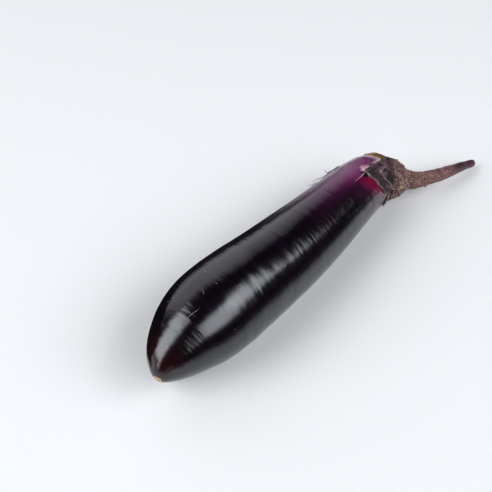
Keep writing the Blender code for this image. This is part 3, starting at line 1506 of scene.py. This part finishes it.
@dataclass
class DriedTips:
    """The thread-like dried tips of the lobes, and the dry film beside one of them.

    A thread has its knots and its thickest radius. A stray thread's knots are X,
    turn in degrees and height over the skin. The others' knots are tilt and turn
    in degrees and height over the skin. Lengths are in millimetres.
    """

    near_tips: tuple[Thread, ...] = (
        (((120.0, 35.0, 0.9), (122.0, 30.0, 1.5), (123.5, 21.0, 2.2), (125.0, 10.0, 2.6)), 0.62),
        (((121.0, 38.0, 0.8), (123.5, 42.0, 0.9), (126.0, 45.0, 0.6), (128.0, 46.0, 0.2)), 0.55),
    )
    strays: tuple[Thread, ...] = (
        (((40.0, -52.0, 0.5), (35.0, -58.0, 0.6), (31.5, -58.0, 1.6), (30.0, -52.0, 3.8)), 0.34),
        (((36.0, -62.0, 0.4), (29.0, -63.0, 0.5), (24.0, -60.0, 1.4), (19.0, -59.0, 2.0)), 0.30),
        (((22.0, -62.0, 0.3), (17.5, -60.0, 0.8), (14.5, -58.0, 1.9)), 0.24),
    )
    film: Thread = (
        (
            (124.0, 41.0, 0.3),
            (125.3, 44.5, 0.2),
            (126.2, 48.0, 0.15),
            (127.0, 51.5, 0.1),
            (128.0, 55.0, 0.0),
        ),
        0.24,
    )
    finish: CorkFinish = field(
        default_factory=lambda: CorkFinish(
            "dry_tip_finish", (0.075, 0.055, 0.055, 1.0), (0.018, 0.012, 0.014, 1.0)
        )
    )
    film_finish: CorkFinish = field(
        default_factory=lambda: CorkFinish(
            "dry_film_finish", (0.74, 0.62, 0.60, 1.0), (0.42, 0.26, 0.28, 1.0)
        )
    )

    def build(self, fruit: bpy.types.Object, sizes: Fruit, cap: Calyx) -> None:
        """Model the dried tips.

        Args:
            fruit: The fruit's mesh object.
            sizes: The fruit's sizes.
            cap: The calyx's sizes.
        """
        skin = tree_of(fruit)
        threads = []
        for number, tip in enumerate(self.near_tips):
            threads.append(self.thread(skin, cap, f"near_thread_{number}", tip))
        for number, tip in enumerate(self.strays):
            threads.append(self.stray(skin, sizes, f"far_thread_{number}", tip))
        hand_over(join("dried_tips", threads), self.finish.material())
        film = self.thread(skin, cap, "dry_film", self.film)
        hand_over(film, self.film_finish.material())

    def thread(
        self, skin: BVHTree, cap: Calyx, name: str, shape: Thread
    ) -> bpy.types.Object:
        """Model a tapering thread near the calyx.

        Args:
            skin: The fruit's search tree.
            cap: The calyx's sizes.
            name: The thread's name.
            shape: Its knots and its thickest radius.

        Returns:
            The thread's mesh object.
        """
        line = []
        for tilt, turn, height in shape[0]:
            ray = cap.direction(tilt, turn)
            place = skin.ray_cast(cap.centre, ray)[0]
            line.append(place + ray * height * MM)
        return self.taper(name, line, shape[1])

    def stray(
        self, skin: BVHTree, sizes: Fruit, name: str, shape: Thread
    ) -> bpy.types.Object:
        """Model a tapering thread that lies along the fruit.

        Args:
            skin: The fruit's search tree.
            sizes: The fruit's sizes.
            name: The thread's name.
            shape: Its knots and its thickest radius.

        Returns:
            The thread's mesh object.
        """
        line = []
        for along, turn, height in shape[0]:
            place, normal = sizes.place_on(skin, along * MM, turn)
            line.append(place + normal * height * MM)
        return self.taper(name, line, shape[1])

    def taper(self, name: str, line: Sequence[Vector], radius: float) -> bpy.types.Object:
        """Model a thread that thins towards its end.

        Args:
            name: The thread's name.
            line: Points on its middle line, in metres.
            radius: Its thickest radius, in millimetres.

        Returns:
            The thread's mesh object.
        """
        count = len(line)
        radii = [radius * MM * (1.0 - 0.8 * i / (count - 1)) for i in range(count)]
        return tube(name, line, radii, 8, 2)


# --------------------------------------------------------------------------
# The studio
# --------------------------------------------------------------------------


@dataclass(frozen=True)
class SoftLight:
    """A rectangular soft light, in nested layers that soften its edges.

    Attributes:
        name: Its name.
        azimuth: Angle from -Y towards +X, in degrees.
        elevation: Angle over the floor, in degrees.
        distance: How far it is from its target, in metres.
        width: Its width, in metres.
        height: Its height, in metres.
        radiance: How bright it looks.
        colour: Its colour.
        layers: Each layer's size, as a share of the light's.
        spacing: How far one layer is behind another, in metres.
    """

    name: str
    azimuth: float
    elevation: float
    distance: float
    width: float
    height: float
    radiance: float
    colour: Point = (0.985, 0.992, 1.0)
    layers: tuple[float, ...] = (1.0, 0.82, 0.62)
    spacing: float = 0.02

    def build(self, target: Vector) -> None:
        """Set the light up, aimed at a target."""
        for layer, share in enumerate(self.layers):
            self.build_layer(target, layer, share)

    def build_layer(self, target: Vector, layer: int, share: float) -> None:
        """Set one layer of the light up.

        Args:
            target: The place that it is aimed at.
            layer: The layer's number.
            share: The layer's size, as a share of the light's.
        """
        away = from_angles(self.azimuth, self.elevation)
        name = f"{self.name}_{layer}"
        light = bpy.data.lights.new(name, "AREA")
        light.shape = "RECTANGLE"
        light.size = self.width * share
        light.size_y = self.height * share
        light.energy = self.radiance / len(self.layers) * math.pi * light.size * light.size_y
        light.color = self.colour
        item = bpy.data.objects.new(name, light)
        item.location = target + away * (self.distance + self.spacing * layer)
        item.rotation_euler = away.to_track_quat("Z", "Y").to_euler()
        item.visible_camera = False
        bpy.context.scene.collection.objects.link(item)


@dataclass(frozen=True)
class Flag:
    """A black flag that only reflections show, cleared softly towards one of its ends.

    Attributes:
        low: Its low corner, in metres.
        high: Its high corner, in metres.
        axis: The axis along which it clears.
        clear: Where along the axis it is clear, in metres.
        solid: Where along the axis it is black, in metres.
        cloth: Its colour.
    """

    low: Point
    high: Point
    axis: Axis
    clear: float
    solid: float
    cloth: Colour = (0.004, 0.004, 0.005, 1.0)

    def build(self, name: str) -> None:
        """Stand the flag up, where only reflections show it."""
        low, high = Vector(self.low), Vector(self.high)
        deselect_all()
        bpy.ops.mesh.primitive_cube_add(size=1.0, location=(low + high) / 2, scale=high - low)
        flag = bpy.context.object
        flag.name = name
        freeze(flag)
        flag.data.materials.append(self.material(name))
        flag.visible_camera = False
        flag.visible_diffuse = False
        flag.visible_shadow = False

    def material(self, name: str) -> bpy.types.Material:
        """Return the flag's black cloth."""
        graph = Graph(f"{name}_finish")
        parts = graph.nodes.new("ShaderNodeSeparateXYZ")
        graph.links.new(graph.coordinates(), parts.inputs[0])
        opaque = graph.step(parts.outputs[self.axis.value], self.clear, self.solid)
        graph.surface(Base_Color=self.cloth, Roughness=0.9, Alpha=opaque)
        return graph.material


@dataclass
class Studio:
    """Pale table, soft lights, flags and the camera, whose angles are in degrees."""

    azimuth: float = -49.3
    elevation: float = 44.0
    distance: float = 0.4859
    target: Vector = field(default_factory=lambda: Vector((-36.5, 22.2, 22.5)) * MM)
    lens: float = 65.85
    sensor: float = 36.0
    nearest: float = 0.01
    floor_size: float = 2.4
    backdrop: Colour = (0.90, 0.92, 0.95, 1.0)
    dim: Colour = (0.018, 0.018, 0.022, 1.0)
    flags: tuple[Flag, ...] = (
        Flag((-0.150, 0.034, 0.001), (0.070, 0.078, 0.044), Axis.X, 0.070, -0.030),
        Flag((-0.400, -0.262, 0.001), (0.400, -0.257, 0.080), Axis.Z, 0.080, 0.040),
        Flag((-0.400, -0.256, 0.001), (0.400, -0.050, 0.002), Axis.Y, -0.050, -0.150),
    )
    lights: tuple[SoftLight, ...] = (
        SoftLight("front", -2.0, 37.0, 2.0, 2.10, 1.55, 4.1),
        SoftLight("front_side", 37.0, 39.0, 2.0, 1.10, 1.30, 4.3),
        SoftLight("left", -116.0, 36.0, 2.0, 1.70, 2.40, 5.0),
        SoftLight("far_wall", 160.0, 34.0, 2.2, 3.60, 2.80, 1.10, (0.98, 0.94, 1.0)),
    )

    def build(self) -> None:
        """Set the studio up."""
        self.lay_floor()
        for number, flag in enumerate(self.flags):
            flag.build(f"flag_{number}")
        self.light_world()
        for light in self.lights:
            light.build(self.target)
        self.place_camera()
        bpy.context.scene.view_settings.view_transform = "Standard"

    def lay_floor(self) -> None:
        """Lay the pale floor that the fruit rests on."""
        deselect_all()
        bpy.ops.mesh.primitive_plane_add(size=self.floor_size, location=(0, 0, 0))
        floor = bpy.context.object
        floor.name = "floor"
        floor.data.materials.append(FloorFinish().material())

    def light_world(self) -> None:
        """Make the surroundings pale to look at, and dim for what they light."""
        world = bpy.data.worlds.new("surroundings")
        world.use_nodes = True
        nodes, links = world.node_tree.nodes, world.node_tree.links
        back = nodes["Background"]
        mix = nodes.new("ShaderNodeMix")
        mix.data_type = "RGBA"
        mix.inputs[MIX_FIRST].default_value = self.dim
        mix.inputs[MIX_SECOND].default_value = self.backdrop
        path = nodes.new("ShaderNodeLightPath")
        links.new(path.outputs["Is Camera Ray"], mix.inputs[MIX_FACTOR])
        links.new(mix.outputs[MIX_RESULT], back.inputs["Color"])
        bpy.context.scene.world = world

    def place_camera(self) -> None:
        """Set the camera up, looking down on the fruit."""
        away = from_angles(self.azimuth, self.elevation)
        data = bpy.data.cameras.new("camera")
        data.lens = self.lens
        data.sensor_width = self.sensor
        data.clip_start = self.nearest
        camera = bpy.data.objects.new("camera", data)
        camera.location = self.target + away * self.distance
        camera.rotation_euler = away.to_track_quat("Z", "Y").to_euler()
        bpy.context.scene.collection.objects.link(camera)
        bpy.context.scene.camera = camera


def main() -> None:
    """Build the eggplant and its studio."""
    logging.basicConfig(level=logging.INFO, format="%(name)s %(message)s")
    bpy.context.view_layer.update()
    fruit_sizes, cap, stalk = Fruit(), Calyx(), Stem()
    fruit = fruit_sizes.build()
    calyx = cap.build(fruit)
    stem = stalk.build()
    fruit_sizes.dress(fruit, calyx, cap)
    cap.dress(calyx)
    stalk.dress(stem)
    BlossomScar().build(fruit, fruit_sizes)
    SkinMarks().build(fruit, fruit_sizes)
    DriedTips().build(fruit, fruit_sizes, cap)
    Studio().build()


if __name__ == "__main__":
    main()
